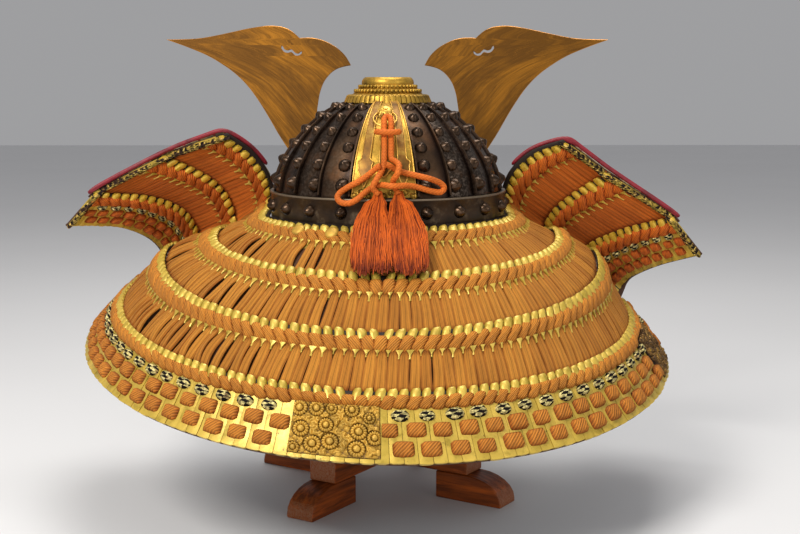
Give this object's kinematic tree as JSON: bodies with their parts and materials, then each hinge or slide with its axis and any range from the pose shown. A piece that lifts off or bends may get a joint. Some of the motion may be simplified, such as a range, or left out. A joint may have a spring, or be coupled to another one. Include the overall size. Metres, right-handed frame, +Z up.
{
  "type": "samurai helmet on wooden stand",
  "caption": "Ridged iron kabuto helmet with laced gilt neck guard, turned-back wings, gilt horns and a tied cord bow, resting on a plain wooden cross stand.",
  "frame": {"origin": "on the surface that the stand's feet rest on, midway between the outermost points", "axes": "+Z up, +Y toward the helmet's face, +X toward the wearer's right side; the neck guard hangs toward -Y"},
  "size_m": [0.5813, 0.4018, 0.4176],
  "materials": {
    "gilt_lacquer": "gilt lacquer on rawhide and iron scales, worn",
    "orange_silk": "flat braided silk lacing, faded orange",
    "orange_cord": "round braided silk cord and silk tassels, bright orange",
    "russet_iron": "russet iron, dark brown patina",
    "black_lacquered_iron": "black lacquer over iron",
    "gilt_copper": "gilt copper, chased",
    "worn_gilt": "worn gilt with brown streaks",
    "printed_leather": "tan leather with a small printed pattern",
    "red_leather": "red leather piping",
    "reddish_wood": "reddish brown wood, oiled",
    "black_lacquer": "black lacquer"
  },
  "bodies": {
    "root": {"neck_lame_1": "gilt_lacquer", "neck_lame_2": "gilt_lacquer", "neck_lame_3": "gilt_lacquer", "neck_lame_4": "gilt_lacquer", "lacing_1": "orange_silk", "lacing_2": "orange_silk", "lacing_3": "orange_silk", "bow_cord": "orange_cord", "bow_loops": "orange_cord", "bow_wrap": "orange_cord", "tassel_left": "orange_cord", "tassel_right": "orange_cord", "bowl": "russet_iron", "bowl_band": "black_lacquered_iron", "crown_ornament": "gilt_copper", "back_plate": "gilt_copper", "arrow_strip_left": "gilt_copper", "arrow_strip_middle": "gilt_copper", "arrow_strip_right": "gilt_copper", "ring_rosette": "gilt_copper", "cord_ring": "gilt_copper", "flower_plate_back": "gilt_copper", "flower_plate_right": "gilt_copper", "horn_mount": "gilt_copper", "horn_left": "worn_gilt", "horn_right": "worn_gilt", "wing_leather_left": "printed_leather", "wing_leather_right": "printed_leather", "wing_piping_left": "red_leather", "wing_piping_right": "red_leather", "stand_bar_lower": "reddish_wood", "stand_bar_upper": "reddish_wood", "stand_foot_1": "reddish_wood", "stand_foot_2": "reddish_wood", "stand_foot_3": "reddish_wood", "stand_foot_4": "reddish_wood", "stand_post": "reddish_wood", "stand_cap": "reddish_wood", "visor": "black_lacquer"}
  },
  "joints": []
}
